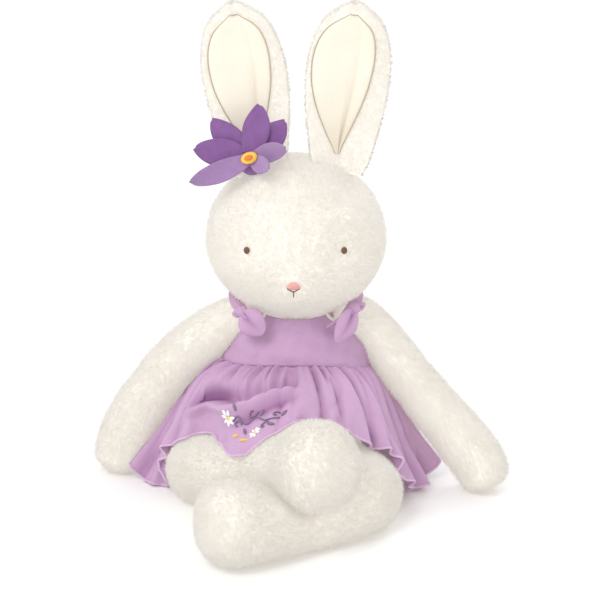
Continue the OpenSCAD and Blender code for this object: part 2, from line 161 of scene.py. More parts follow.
def cloth(grid, thickness, wrap=False):
    """Both sides of a cloth and the strip round its edge; the inner side lies under the grid's normals."""
    rows, cols = grid.shape[:2]
    outer = np.arange(rows * cols).reshape(rows, cols)
    inner = outer + rows * cols
    points = np.vstack([grid.reshape(-1, 3), (grid - thickness * grid_normals(grid, wrap)).reshape(-1, 3)])
    faces = [quads(outer, wrap), quads(inner, wrap)[:, ::-1]]
    faces.append(quads(np.stack([inner[0], outer[0]]), wrap))
    faces.append(quads(np.stack([outer[-1], inner[-1]]), wrap))
    if not wrap:
        faces.append(quads(np.stack([outer[:, 0], inner[:, 0]])))
        faces.append(quads(np.stack([inner[:, -1], outer[:, -1]])))
    return [(points, np.vstack(faces))]


def mesh_object(name, patches, finish, painted_shade=None):
    """One object at the origin from patches: points in millimetres, faces, and sometimes shading normals.

    A patch with no points of its own numbers them back from the end of the patch before. The painted-shade
    values, one for each point and from 0 to 1, say how much painted shade a point gets in a fold, crease or
    contact."""
    points, corners, starts, normals, total, corner = [], [], [], [], 0, 0
    for cloud, faces, *shading in patches:
        points.append(cloud)
        normals.append(shading[0] if shading else np.zeros_like(cloud))
        corners.append((faces + total).ravel())
        starts.append(corner + faces.shape[1] * np.arange(len(faces)))
        total += len(cloud)
        corner += faces.size
    mesh = bpy.data.meshes.new(name)
    mesh.vertices.add(total)
    mesh.vertices.foreach_set("co", np.concatenate(points).ravel() * MM)
    mesh.loops.add(corner)
    mesh.loops.foreach_set("vertex_index", np.concatenate(corners).astype(np.int32))
    mesh.polygons.add(sum(len(s) for s in starts))
    mesh.polygons.foreach_set("loop_start", np.concatenate(starts).astype(np.int32))
    mesh.polygons.foreach_set("use_smooth", np.ones(len(mesh.polygons), bool))
    mesh.materials.append(finish)
    mesh.update(calc_edges=True)
    if painted_shade is not None:
        mesh.attributes.new("painted_shade", "FLOAT", "POINT").data.foreach_set("value", painted_shade.astype(np.float32))
    if any(len(patch) == 3 for patch in patches):
        mesh.normals_split_custom_set_from_vertices(np.concatenate(normals))
    thing = bpy.data.objects.new(name, mesh)
    bpy.context.scene.collection.objects.link(thing)
    print(name, len(mesh.polygons), "faces")
    return thing


# %% [markdown]
# ## Pile
# A lock of pile is a closed three-sided spike. Locks stand at random places on the backing, as many to the
# square millimetre everywhere, and lean the way the cloth was brushed. Their feet are sunk, so that no gap
# shows.

# %% Locks of pile
def sample(grid, wrap, density, random):
    """Random places on a grid, evenly spread over its area: their points and normals.

    A cell is drawn with a chance in proportion to its area, then a place in it by two shares."""
    normals = grid_normals(grid, wrap)
    if wrap:
        grid, normals = (np.concatenate([g, g[:, :1]], 1) for g in (grid, normals))
    area = cell_areas(grid)
    count = int(area.sum() * density)
    pick = np.searchsorted(np.cumsum(area.ravel()) / area.sum(), random.random(count) * 0.999999)
    i, j = np.divmod(pick, area.shape[1])
    u, v = random.random((2, count, 1))
    return between(grid, i, j, u, v), unit(between(normals, i, j, u, v))


SUNK = 0.6
LOWEST = 0.3


def pile(grid, wrap, length, comb, seed, density=1.9, keep=None, lean=0.7, radius=0.36):
    """Locks on a grid: length in millimetres or a function of place, comb the direction of brushing.

    A lock's direction is the normal plus lean times the comb direction plus a little chance."""
    random = np.random.default_rng(seed)
    foot, normal = sample(grid, wrap, density, random)
    if keep is not None:
        kept = keep(foot, normal)
        foot, normal = foot[kept], normal[kept]
    count = len(foot)
    brush = comb(foot) if callable(comb) else np.broadcast_to(np.asarray(comb, float), foot.shape)
    brush = brush - (brush * normal).sum(1, keepdims=True) * normal
    clump = np.stack([lumps(foot, 11, seed + k) for k in (1, 2, 3)], 1) * 0.06
    way = unit(normal + lean * unit(brush) + clump + random.normal(size=(count, 3)) * 0.42)
    reach = (length(foot) if callable(length) else length) * random.uniform(0.7, 1.15, count)
    side = unit(np.cross(way, random.normal(size=(count, 3))))
    other = np.cross(way, side)
    root = foot - SUNK * normal
    turn = (np.array([0, 2, 4]) * np.pi / 3)[:, None]
    ring = root[:, None] + radius * (np.cos(turn) * side[:, None] + np.sin(turn) * other[:, None])
    tip = root + way * (reach + SUNK)[:, None]
    points = np.concatenate([ring, tip[:, None]], 1).reshape(-1, 3)
    points[:, 2] = np.maximum(points[:, 2], LOWEST)
    four = 4 * np.arange(count)[:, None]
    faces = np.vstack([four + [0, 1, 3], four + [1, 2, 3], four + [2, 0, 3], four + [0, 2, 1]])
    soft = unit(normal + 0.34 * (way - normal * (way * normal).sum(1, keepdims=True)))
    return [(points, faces, np.repeat(soft, 4, axis=0))]


# %% [markdown]
# ## Shader maths in plain expressions
# A material is a small calculation. One class wraps a socket, so that a pattern can be written as it would be
# said: noise times a half plus a bit. Each operator adds one Math node.

# %% A class for shader maths
class Value:
    """One output socket, with the arithmetic that the finishes use."""

    def __init__(self, finish, socket):
        self.finish = finish
        self.socket = socket

    def math(self, operation, *inputs):
        return self.finish.node("ShaderNodeMath", {"operation": operation}, dict(enumerate(inputs)))

    def __add__(self, other):
        return self.math("ADD", self, other)

    def __mul__(self, other):
        return self.math("MULTIPLY", self, other)

    def sine(self):
        return self.math("SINE", self)

    __radd__ = __add__
    __rmul__ = __mul__


class Finish:
    """A material under construction: a Principled shader and the nodes that feed it."""

    def __init__(self, name, roughness, constants=None):
        self.material = bpy.data.materials.new(name)
        self.material.use_nodes = True
        self.tree = self.material.node_tree
        self.shader = self.tree.nodes["Principled BSDF"]
        self.shader.inputs["Roughness"].default_value = roughness
        for socket, value in (constants or {}).items():
            self.shader.inputs[socket].default_value = value

    def feed(self, socket, value):
        if isinstance(value, Value):
            self.tree.links.new(value.socket, socket)
        else:
            socket.default_value = value

    def node(self, kind, settings=None, inputs=None, output=0):
        """Any node: its settings are set first, then each input is linked or given its value."""
        node = self.tree.nodes.new(kind)
        for key, value in (settings or {}).items():
            setattr(node, key, value)
        for key, value in (inputs or {}).items():
            self.feed(node.inputs[key], value)
        return Value(self, node.outputs[output])

    def place(self):
        return self.node("ShaderNodeTexCoord", output="Object")

    def noise(self, scale, detail=3, roughness=0.55):
        inputs = {"Vector": self.place(), "Scale": scale, "Detail": detail, "Roughness": roughness}
        return self.node("ShaderNodeTexNoise", {}, inputs)

    def ramp(self, value, low, high):
        """Stretches values from low..high to 0..1."""
        inputs = {"Value": value, "From Min": low, "From Max": high}
        return self.node("ShaderNodeMapRange", {"clamp": True}, inputs)

    def mix(self, share, first, second):
        return self.node("ShaderNodeMix", {"data_type": "RGBA"}, {0: share, 6: first, 7: second}, output=2)

    def painted_shade(self):
        """The number stored on the points of a mesh that says how much painted shade they get in folds, creases
        and contacts.
        """
        return self.node("ShaderNodeAttribute", {"attribute_name": "painted_shade"}, output="Fac")

    def set(self, socket, value):
        self.feed(self.shader.inputs[socket], value)

    def bump(self, height, strength, distance):
        inputs = {"Strength": strength, "Distance": distance, "Height": height}
        self.set("Normal", self.node("ShaderNodeBump", {}, inputs))


# %% [markdown]
# ## Fabric finishes
# Cream plush is never one flat colour: locks differ a little in warmth, and their ends catch light at the
# edge of every round form. That edge light is sheen. The plush also emits a little painted light, standing in
# for light that wanders between white fibres. Where pile touches another part or a fold is deep, a number on
# the mesh mixes in a painted shade.

# %% Plush and velour
# Painted shade: the warm dark tone mixed in at folds, creases and where limbs touch.
PAINTED_SHADE_TONE = (0.40, 0.32, 0.20, 1)
PAINTED_GLOW = (1.0, 0.94, 0.85, 1)


def plush_finish(name, light, warm, painted_glow):
    """Plush: light and warm tones in soft patches and lock by lock, painted shade where it touches or folds,
    and a little painted emitted light.
    """
    constants = {"Specular IOR Level": 0.1, "Sheen Weight": 0.25, "Sheen Roughness": 0.5,
                 "Emission Strength": painted_glow, "Emission Color": PAINTED_GLOW}
    finish = Finish(name, 0.9, constants)
    patches = finish.ramp(finish.noise(45, 4, 0.6), 0.3, 0.7)
    locks = finish.ramp(finish.noise(520, 2, 0.6), 0.25, 0.75)
    colour = finish.mix(patches * 0.5 + locks * 0.5, light, warm)
    finish.set("Base Color", finish.mix(finish.painted_shade(), colour, PAINTED_SHADE_TONE))
    finish.bump(finish.noise(1600, 2, 0.6), 0.3, 0.0004)
    return finish.material


# The last number of each finish is how strongly it emits painted light.
PLUSH = plush_finish("cream_plush", (0.72, 0.70, 0.66, 1), (0.63, 0.595, 0.53, 1), 0.42)
VELOUR = plush_finish("ear_velour", (0.74, 0.70, 0.60, 1), (0.69, 0.63, 0.52, 1), 0.16)
print("plush finishes:", PLUSH.name, VELOUR.name)

# %% [markdown]
# Cotton shows its weave close by: two sets of threads crossing, each a row of sines, one across the dress
# and one up it. Felt is a mat of fibres with no direction. Threads are shinier than either.

# %% Cotton, felt and threads
THREAD_PITCH = 0.0007


def cotton_finish(name, light, deep, painted_shade):
    """Cotton: light and deep tones in soft patches, and a painted shade tone in deep folds."""
    finish = Finish(name, 0.78, {"Specular IOR Level": 0.25, "Sheen Weight": 0.15, "Sheen Roughness": 0.4})
    spread = finish.ramp(finish.noise(60, 4, 0.6), 0.3, 0.7)
    fine = finish.ramp(finish.noise(900, 2, 0.5), 0.3, 0.7)
    tone = finish.mix(spread * 0.35 + fine * 0.25, light, deep)
    finish.set("Base Color", finish.mix(finish.painted_shade(), tone, painted_shade))
    split = finish.tree.nodes.new("ShaderNodeSeparateXYZ")
    finish.feed(split.inputs[0], finish.place())
    pitch = 2 * np.pi / THREAD_PITCH
    warp = (Value(finish, split.outputs[0]) * pitch).sine()
    weft = (Value(finish, split.outputs[2]) * pitch).sine()
    finish.bump(warp * weft * 0.5 + finish.noise(500, 3, 0.6), 0.25, 0.0004)
    return finish.material


def felt_finish(name, light, deep):
    """Felt: clouds of two tones with fine fibres in them, and a coarse rough bump."""
    finish = Finish(name, 0.95, {"Specular IOR Level": 0.1, "Sheen Weight": 0.3, "Sheen Roughness": 0.6})
    cloud = finish.ramp(finish.noise(160, 4, 0.7), 0.3, 0.7)
    fibre = finish.ramp(finish.noise(1500, 3, 0.7), 0.3, 0.7)
    finish.set("Base Color", finish.mix(cloud * 0.4 + fibre * 0.5, light, deep))
    finish.bump(finish.noise(1300, 4, 0.7), 0.7, 0.0008)
    return finish.material


def thread_finish(name, light, deep):
    """Thread: two close tones, smoother than cloth."""
    finish = Finish(name, 0.45, {"Specular IOR Level": 0.4, "Sheen Weight": 0.1})
    twist = finish.ramp(finish.noise(900, 3, 0.6), 0.3, 0.7)
    finish.set("Base Color", finish.mix(twist, light, deep))
    finish.bump(finish.noise(2600, 2, 0.5), 0.4, 0.0003)
    return finish.material


LILAC = cotton_finish("lilac_cotton", (0.57, 0.375, 0.555, 1), (0.49, 0.29, 0.475, 1),
                      (0.27, 0.10, 0.26, 1))
FELT = felt_finish("purple_felt", (0.27, 0.125, 0.34, 1), (0.19, 0.08, 0.25, 1))
# Painted light: a paler copy of the felt, for the front petals, as if their tops caught the light.
FELT_PAINTED_LIGHT = felt_finish("purple_felt_painted_light", (0.40, 0.25, 0.47, 1), (0.30, 0.17, 0.37, 1))
SERGE = thread_finish("lilac_serging", (0.72, 0.52, 0.72, 1), (0.60, 0.38, 0.60, 1))
SEAM = thread_finish("ear_seam_thread", (0.52, 0.46, 0.34, 1), (0.44, 0.38, 0.27, 1))
BROWN = thread_finish("brown_thread", (0.20, 0.105, 0.05, 1), (0.11, 0.055, 0.03, 1))
PINK = thread_finish("pink_thread", (0.80, 0.42, 0.38, 1), (0.70, 0.33, 0.30, 1))
GOLD = thread_finish("golden_thread", (0.90, 0.62, 0.10, 1), (0.80, 0.48, 0.06, 1))
ORANGE = thread_finish("orange_thread", (0.80, 0.24, 0.04, 1), (0.66, 0.17, 0.03, 1))
WHITE = thread_finish("white_thread", (0.92, 0.92, 0.90, 1), (0.84, 0.84, 0.82, 1))
VIOLET = thread_finish("violet_thread", (0.24, 0.17, 0.27, 1), (0.17, 0.115, 0.20, 1))
print("cotton, felt and thread finishes made")

# %% [markdown]
# ## Stuffed limbs
# A limb is a ring carried along its curve, and its two ends are rounded like a ball. Each ring stands
# square to the curve. A slight unevenness stands for the filling, and the pile is brushed towards the hand
# or foot.

# %% Limb surfaces
def limb(path, ref, rows=64, cols=44):
    """Rings along a smooth path of places and radii, rounded at both ends.

    A ring's radius is the path's radius times sqrt(1 - (1 - s/r)^2) within r of an end."""
    path = np.asarray(path, float)
    line = along(path, np.linspace(0, 1, 41))[:, :3]
    length = np.linalg.norm(np.diff(line, axis=0), axis=1).sum()
    first, last = path[0, 3], path[-1, 3]
    cap = 1 - np.cos(np.linspace(0.06, np.pi / 2, 12))
    middle = np.linspace(first, length - last, rows)[1:-1]
    stops = np.concatenate([first * cap, middle, length - last * cap[::-1]])
    t = stops / length
    spot = along(path, t)
    ahead = along(path, np.minimum(t + 0.02, 1)) - along(path, np.maximum(t - 0.02, 0))
    radius = spot[:, 3] * rounded(stops / first) * rounded((length - stops) / last)
    grid = rings(spot[:, :3], unit(ahead[:, :3]), ref, radius[:, None, None], cols)
    return grid + grid_normals(grid, True) * lumps(grid, 34, 5)[..., None] * 0.7


def brushed_along(path):
    """A function of place that gives the direction of the nearby stretch of a path, blended over 2 cm."""
    line = along(path, np.linspace(0, 1, 40))[:, :3]
    step = unit(np.gradient(line, axis=0))

    def comb(points):
        gap = ((points[:, None] - line[None]) ** 2).sum(-1)
        share = np.exp(-(gap - gap.min(1, keepdims=True)) / 400)
        return unit(share @ step) + [0, 0, -0.35]

    return comb


def touching(points, path, reach=9):
    """1 where a point touches another limb, falling evenly to 0 at the reach."""
    line = along(path, np.linspace(0, 1, 40))
    gap = (np.linalg.norm(points[:, None] - line[None, :, :3], axis=-1) - line[None, :, 3]).min(1)
    return np.clip(1 - gap / reach, 0, 1)


def plush_limb(name, path, ref, seed, length=4.2, neighbour=None):
    """A limb with its pile; the pile gets a warm painted shade where it touches a neighbour."""
    grid = limb(path, ref)
    patches = closed(grid) + pile(grid, True, length, brushed_along(path), seed, lean=0.4)
    contact_shade = None
    if neighbour is not None:
        contact_shade = 0.55 * touching(np.concatenate([patch[0] for patch in patches]), neighbour)
    return mesh_object(name, patches, PLUSH, contact_shade)


# %% [markdown]
# The arms hang from the shoulders, bend a little at the elbow and rest their hands on the floor.

# %% Arms
UP, BACK = (0, 0, 1), (0, 1, 0)
RIGHT_ARM = [[-30, 0, 122, 11], [-43, 0, 119, 13.5], [-68, 2, 101, 16], [-87, 4, 82, 16.5],
             [-105, 7, 58, 17], [-118, 9, 37, 17], [-125, 10, 19, 16.5], [-128, 10, 4, 16.5]]
LEFT_ARM = [[30, 0, 122, 11], [44, -1, 120, 12.5], [58, -3, 106, 13.5], [73, -7, 86, 14.5],
            [92, -12, 63, 15.5], [114, -20, 38, 16.5], [129, -26, 19, 16.5], [135, -28, 5, 16]]
right_arm = plush_limb("right_arm", RIGHT_ARM, BACK, 11)
left_arm = plush_limb("left_arm", LEFT_ARM, BACK, 12)
for piece, side, sign in ((right_arm, "right", -1), (left_arm, "left", 1)):
    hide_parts(f"{side}_arm_outer", f"{side}_arm_inner", f"{side}_arm_fill")
    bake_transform(piece)

# %% [markdown]
# ## Crossed legs
# Each leg runs from the hip to the knee and back across the front. The bunny's right leg lies on top, with
# its round foot turned to the front, and the left leg lies on the floor below it.

# %% Legs
RIGHT_LEG = [[-18, -20, 24, 16], [-40, -33, 24, 18], [-66, -42, 23, 21], [-60, -58, 29, 21],
             [-42, -76, 36, 20], [-22, -99, 47, 18], [-4, -118, 55, 20], [13, -135, 62, 28.5],
             [32, -151, 68, 28.5]]
LEFT_LEG = [[20, -24, 24, 16], [32, -50, 24, 19], [48, -77, 23, 21], [44, -98, 22.5, 21],
            [24, -116, 20, 18], [-2, -132, 19, 17], [-24, -144, 25, 22.5], [-42, -153, 30, 26],
            [-60, -162, 32, 26]]
# Painted shade: each leg's pile is darkened to a warm tan where the other leg touches it.
right_leg = plush_limb("right_leg", RIGHT_LEG, UP, 13, neighbour=LEFT_LEG)
left_leg = plush_limb("left_leg", LEFT_LEG, UP, 14, neighbour=RIGHT_LEG)
for piece, side in ((right_leg, "right"), (left_leg, "left")):
    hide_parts(f"{side}_thigh_skin", f"{side}_thigh_fill", f"{side}_shin_skin", f"{side}_shin_fill")
    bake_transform(piece)

# %% [markdown]
# ## Torso and tail
# The torso is a pear, broad at the seat and narrow at the neck. Most of it is under the dress, so pile
# stands only where it can be seen: at the neck and below the lifted hem. The tail is a ball of longer pile
# at the back.

# %% Torso
OUTLINE = np.array([[2.6, 37], [12, 43], [30, 45], [55, 43], [80, 39], [97, 35], [110, 29.5], [118, 23],
                    [124, 15]])
DEPTH = 0.86


def torso_surface(rows=60, cols=64):
    """Level ellipses whose half width follows the outline; the top and bottom rings draw in to close."""
    z = np.linspace(0.9, 124, rows)
    width = np.interp(z, OUTLINE[:, 0], OUTLINE[:, 1])
    width = np.convolve(np.pad(width, 3, mode="edge"), np.ones(7) / 7, mode="valid")
    width = (width * np.sqrt(np.clip((z + 3) / 8, 0, 1)))[:, None]
    turn = circle(cols)
    height = np.broadcast_to(z[:, None], (rows, cols))
    return np.stack([width * np.sin(turn), -DEPTH * width * np.cos(turn), height], -1)


def uncovered(points, normals):
    """Where the dress leaves the torso bare: at the neck, and low down in front."""
    return (points[:, 2] > 112) | ((points[:, 2] < 62) & (points[:, 1] < 6))


torso_grid = torso_surface()
torso_pile = pile(torso_grid, True, 3.6, (0, 0, -1), 15, keep=uncovered)
torso = mesh_object("torso", closed(torso_grid) + torso_pile, PLUSH)
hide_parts("seat_panel", "torso_front", "torso_back", "torso_fill", "pellet_bag")
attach(torso, "torso")

# %% Tail
def ball(centre, radius, rows=30, cols=40):
    """A sphere as level rings from below to above: angles from the front towards +X, heights by the sine."""
    high = np.linspace(-0.495, 0.495, rows)[:, None] * np.pi
    turn = circle(cols)
    way = np.stack([np.cos(high) * np.sin(turn), -np.cos(high) * np.cos(turn), np.sin(high) + 0 * turn], -1)
    return np.asarray(centre, float) + radius * way


low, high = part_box("tail")
tail_centre = np.array((low + high) / 2) / MM
tail_grid = ball(tail_centre, 11.5)
tail_pile = pile(tail_grid, True, 6, (0, 0.3, -1), 16, density=1.8, lean=0.4)
tail = mesh_object("pompom_tail", closed(tail_grid) + tail_pile, PLUSH)
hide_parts("tail")
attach(tail, "torso")

# %% [markdown]
# ## Head
# The head is nearly a ball. Cheeks fill its lower half, the crown is a little narrower, a low muzzle
# carries the nose, and each eye is stitched down into a small dimple. Every one of these is a soft bump in
# one direction.

# %% Head surface
HEAD = np.array([0.0, -6.0, 182.0])
HEAD_R = 54.0
BROAD = np.array([1.12, 1, 1])


def way_of(turn, tilt):
    """The direction at turn degrees towards +X from the front and tilt degrees up."""
    a, b = np.radians(turn), np.radians(tilt)
    return np.array([np.cos(b) * np.sin(a), -np.cos(b) * np.cos(a), np.sin(b)])


def bump_at(way, turn, tilt, spread):
    """A bell of height 1 round a direction: exp(-(angle / spread)^2)."""
    angle = np.degrees(np.arccos(np.clip(way @ way_of(turn, tilt), -1, 1)))
    return np.exp(-((angle / spread) ** 2))


EYES = (-32.5, 32.0)
FEATURES = [(-1, -19, 21, 2.8), (-44, -22, 27, 2.0), (44, -22, 27, 2.0), (EYES[0], 3, 9, -1.6),
            (EYES[1], 3, 9, -1.6), (-1, -27, 7, -1.0), (-60, 42, 40, -2.5), (60, 42, 40, -2.5),
            (0, 18, 26, -0.8)]


def head_place(way, lift=0.0):
    """The head's surface in a direction: a ball with bumps, drawn out sideways, and lifted along it."""
    bumps = sum(size * bump_at(way, turn, tilt, spread) for turn, tilt, spread, size in FEATURES)
    radius = HEAD_R + bumps
    return HEAD + (np.asarray(radius)[..., None] * way) * BROAD + lift * way


def head_surface(rows=90, cols=120):
    """The head in every direction of a ball, with slight lumps for the filling."""
    way = ball((0, 0, 0), 1, rows, cols)
    return head_place(way) + way * lumps(way * 50, 30, 9)[..., None] * 0.4


NOSE_WAY = way_of(-1.5, -21)


def face_pile(points):
    """Length of the pile: short round the nose and eyes, so that the stitching is not buried."""
    way = unit((points - HEAD) / BROAD)
    short = bump_at(way, -1.5, -23, 10) * 0.6
    for side in EYES:
        short = np.maximum(short, bump_at(way, side, 2, 6) * 0.5)
    chin = np.clip((150 - points[:, 2]) / 20, 0, 1)
    return 3.9 * (1 - short) + 2.0 * chin


def from_nose(points):
    """The pile is brushed away from the nose on all sides, and a little downwards."""
    return unit(points - (HEAD + 50 * NOSE_WAY)) + [0, 0, -0.3]


head_grid = head_surface()
head_pile = pile(head_grid, True, face_pile, from_nose, 21, density=1.7, lean=0.5)
head = mesh_object("head", closed(head_grid) + head_pile, PLUSH)
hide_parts("head_face", "head_back", "head_fill")
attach(head, "head")

# %% [markdown]
# ## Satin stitch
# The eyes, nose and small motifs are embroidered: threads lie side by side across a shape and crown over
# it. A pod does for them all. It is long, closed and low, with one small ridge for each thread.

# %% Pods of stitches
def pod(length, width, height, threads, rows=36, cols=16, point=2.0, fall=0.5):
    """A closed low form: half width times (1 - |s|^point)^fall along it, round in section, with ridges."""
    s = np.sin(np.linspace(-0.497, 0.497, rows) * np.pi)[:, None]
    shape = (1 - np.abs(s) ** point) ** fall
    turn = circle(cols)
    ridge = 1 + 0.16 * np.abs(np.sin(np.pi * threads * (s + 1) / 2))
    across, up = -shape * width / 2 * np.cos(turn), shape * height * np.sin(turn) * ridge
    return np.stack([s * length / 2 + 0 * turn, across, up], -1)


def placed(grid, origin, x_axis, out):
    """The grid with its x along x_axis, its z along out, and its origin at a place."""
    out = unit(np.asarray(out, float))
    x_axis = unit(x_axis - (x_axis @ out) * out)
    return origin + grid @ np.stack([x_axis, np.cross(out, x_axis), out])


def on_head(grid, turn, tilt, lift, spin):
    """A grid laid on the head: spin turns it from the level, towards up, in degrees."""
    out = way_of(turn, tilt)
    level = np.array([np.cos(np.radians(turn)), np.sin(np.radians(turn)), 0])
    rise = np.cross(out, level)
    axis = np.cos(np.radians(spin)) * level + np.sin(np.radians(spin)) * rise
    return placed(grid, head_place(out, lift), axis, out / BROAD)


# %% Eyes
for side, turn in zip(("right", "left"), EYES):
    stitches = on_head(pod(5.0, 4.3, 1.7, 11, 44, 20), turn, 2, 2.4, 90)
    eye = mesh_object(f"{side}_stitched_eye", closed(stitches), BROWN)
    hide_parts(f"{side}_eye")
    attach(eye, "head")

# %% Nose and mouth
SKEW = unit(np.array([0.31, 0.17, 0.93]))


def tube(points, radius, cols=8):
    """A round thread along a line of points. No line here runs along the skew reference direction."""
    return rings(points, unit(np.gradient(points, axis=0)), SKEW, radius, cols)


def on_face(turns, tilts, lift, count=30):
    """A smooth line on the head through places given by turn and tilt."""
    line = along(np.stack([turns, tilts], 1), np.linspace(0, 1, count))
    way = np.array([way_of(a, b) for a, b in line])
    return head_place(way, lift)


nose_pod = pod(9.4, 5.8, 1.8, 15, 60, 20, 2.4, 0.7)
nose_pod[..., 1] -= 0.05 * nose_pod[..., 0] ** 2
nose = mesh_object("stitched_nose", closed(on_head(nose_pod, -1.5, -20.5, 2.2, 0)), PINK)
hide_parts("nose")
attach(nose, "head")

lines = [on_face([-5.4, -1.5], [-21.8, -25.2], 3.3), on_face([2.4, -1.5], [-21.8, -25.2], 3.3),
         on_face([-1.5, -1.5], [-25, -30.0], 3.2)]
mouth_patches = [patch for line in lines for patch in closed(tube(line, 0.42))]
mouth = mesh_object("stitched_mouth", mouth_patches, BROWN)
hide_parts("mouth_stitch")
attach(mouth, "head")

NECK_R = 11
ring_low, ring_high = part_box("neck_seam")
ring_z = (ring_low[2] + ring_high[2]) / 2 / MM
turn = np.linspace(0, 2 * np.pi, 73)
neck_line = np.stack([HEAD[0] + NECK_R * np.cos(turn), HEAD[1] + NECK_R * np.sin(turn),
                      np.full(len(turn), ring_z)], -1)
neck = mesh_object("neck_thread", closed(tube(neck_line, 0.9)), WHITE)
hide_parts("neck_seam")
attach(neck, "neck")

# %% [markdown]
# ## Ears
# An ear is two panels: a furry back that wraps round the rim, and a smooth velour lining set inside it, with
# its stitching showing all round. The root is pinched before it is sewn on, and from there a soft crease
# runs up the lining.

# %% Ear surfaces
EAR_LENGTH = 116.0
EARS = {"right": (np.array([-24.0, -4, 226]), np.array([-43.0, 4, 340.5])),
        "left": (np.array([29.0, -4, 226]), np.array([40.5, 4, 340.5]))}
EAR_PROFILE = [[0, 14], [0.04, 17.5], [0.09, 20], [0.16, 21.5], [0.275, 24.5], [0.395, 27], [0.535, 28.2],
               [0.675, 27.6], [0.81, 24], [0.91, 18], [1, 9]]


def profile(table, t):
    """A value at t from a table of pairs: the mean of nine straight-line readings close to t."""
    table = np.asarray(table)
    return sum(np.interp(t + step, table[:, 0], table[:, 1]) for step in np.linspace(-0.05, 0.05, 9)) / 9


def ear_width(t):
    """Half width from root 0 to tip 1: the profile, rounded off at the tip like a ball."""
    return profile(EAR_PROFILE, t) * rounded((1 - t) / 0.13)


def ear_frame(side, t):
    """Points up the ear's middle, and the direction across it."""
    root, tip = EARS[side]
    axis = tip - root
    across = unit(np.cross(np.array([0, 1.0, 0]), axis))
    bow = np.array([0, 5.0, 0]) * np.sin(np.pi * t)
    return root + axis * t + bow, across


def ear_curl(s, t):
    """How far back a point sits, at s across and t up: the rims curl forward, most at the root."""
    rims = -4.0 * s**2 * (1 - t) - 5.0 * s**2 * np.exp(-((t / 0.2) ** 2))
    return rims + 1.5 * np.exp(-((s / 0.5) ** 2))


def ear_body(side, rows=64, cols=72):
    """A flat closed form: across by the cosine of an angle, and in depth by its sine, deeper at the back."""
    t = np.linspace(0.0, 0.998, rows)[:, None, None]
    turn = circle(cols)[..., None]
    middle, across = ear_frame(side, t)
    s, deep = np.cos(turn), np.sin(turn)
    width = ear_width(t)
    thick = np.where(deep > 0, 6.0, 3.6) * np.minimum(1, width / 12)
    return middle + s * width * across + (deep * thick + ear_curl(s, t) + 1.0) * np.array([0, 1.0, 0])


LINING_SHARE = [[0.08, 0.02], [0.13, 0.10], [0.22, 0.33], [0.35, 0.54], [0.49, 0.69], [0.63, 0.76],
                [0.77, 0.78], [0.89, 0.66], [0.955, 0.42]]
LINING_SHIFT = {"right": -2.5, "left": -5.0}
LINING_T, LINING_S = np.linspace(0.11, 0.935, 70)[:, None], np.linspace(-1, 1, 44)[None]


def ear_lining(side):
    """The lining: a leaf with its point at the root, set a little to one side, and folded along a crease."""
    t, s = LINING_T[..., None], LINING_S[..., None]
    middle, across = ear_frame(side, t)
    full = ear_width(t)
    width = full * profile(LINING_SHARE, t) * rounded((0.94 - t) / 0.12, 0.01)
    shift = LINING_SHIFT[side] * np.sin(np.pi * np.clip(t * 1.05, 0, 1)) ** 0.8
    spot = (shift + s * width) / full
    fold = 2.6 * np.exp(-(((s - 0.4) / 0.13) ** 2)) * np.exp(-((t / 0.62) ** 2)) * ease((t - 0.08) / 0.12)
    sunk = 0.8 * (1 - s**2) * ease(t / 0.3)
    front = -3.6 * np.sqrt(np.clip(1 - spot**2, 0, 1)) - 4.0 * (1 - 0.6 * s**8)
    back = front + ear_curl(spot, t) + fold + sunk + 1.0
    return middle + (shift + s * width) * across + back * np.array([0, 1.0, 0])


def lining_painted_shade():
    """Painted shade on the lining: a bell across the crease, and more shade near the root."""
    crease = np.exp(-(((LINING_S - 0.44) / 0.07) ** 2)) * np.exp(-((LINING_T / 0.55) ** 2))
    root_shade = 0.45 * np.exp(-(((LINING_T - 0.1) / 0.22) ** 2)) + 0 * LINING_S
    return (0.6 * crease + root_shade).ravel()


def ear_pile(side, body, seed):
    """Pile on the back and the rim of an ear, and none where the lining lies."""
    root, axis = EARS[side][0], EARS[side][1] - EARS[side][0]

    def rim_or_back(points, normals):
        t = np.clip(((points - root) @ axis) / EAR_LENGTH**2, 0, 1)
        off = (points - (root + t[:, None] * axis))[:, 0] - LINING_SHIFT[side] * np.sin(np.pi * t)
        bare = np.abs(off) < ear_width(t) * profile(LINING_SHARE, t) - 1.0
        return (normals[:, 1] > 0) | (t > 0.93) | ~bare

    return pile(body, True, 3.0, (0, -0.2, 1), seed, density=2.6, keep=rim_or_back, lean=0.6)


# %% Ears
for side, seed in (("right", 31), ("left", 32)):
    body, lining = ear_body(side), ear_lining(side)
    ear = mesh_object(f"{side}_ear", closed(body) + ear_pile(side, body, seed), PLUSH)
    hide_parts(f"{side}_ear_back")
    # The lining gets painted shade along its crease and near the root.
    inner = mesh_object(f"{side}_velour_lining", cloth(lining, 0.9), VELOUR, np.tile(lining_painted_shade(), 2))
    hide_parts(f"{side}_ear_lining")
    edge = np.concatenate([lining[:, 0], lining[-1, 1:-1], lining[::-1, -1]]) - [0, 0.5, 0]
    stitching = mesh_object(f"{side}_ear_stitching", closed(tube(edge, 0.42)), SEAM)
    for piece in (ear, inner, stitching):
        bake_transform(piece)

# %% [markdown]
# ## Bodice
# The dress has a fitted top. Each panel is as wide as the body at the waist and narrows above it for the
# arms. The cloth stands off the pile a little, and soft wrinkles run down from the straps.

# %% Bodice panels
COTTON = 0.8


def seam_height(turn):
    """Height of the waist seam: it sinks towards both sides, and more on the bunny's left."""
    return 97.5 - np.sin(turn) ** 2 * (9.0 + 3.0 * np.sin(turn))


BODICE = np.array([[82, 54, 43], [90, 53, 42], [97, 51, 41], [104, 48, 38.5], [112, 43.5, 35],
                   [118, 37, 32], [126, 29, 30]])
BODICE_TOP = 127.5


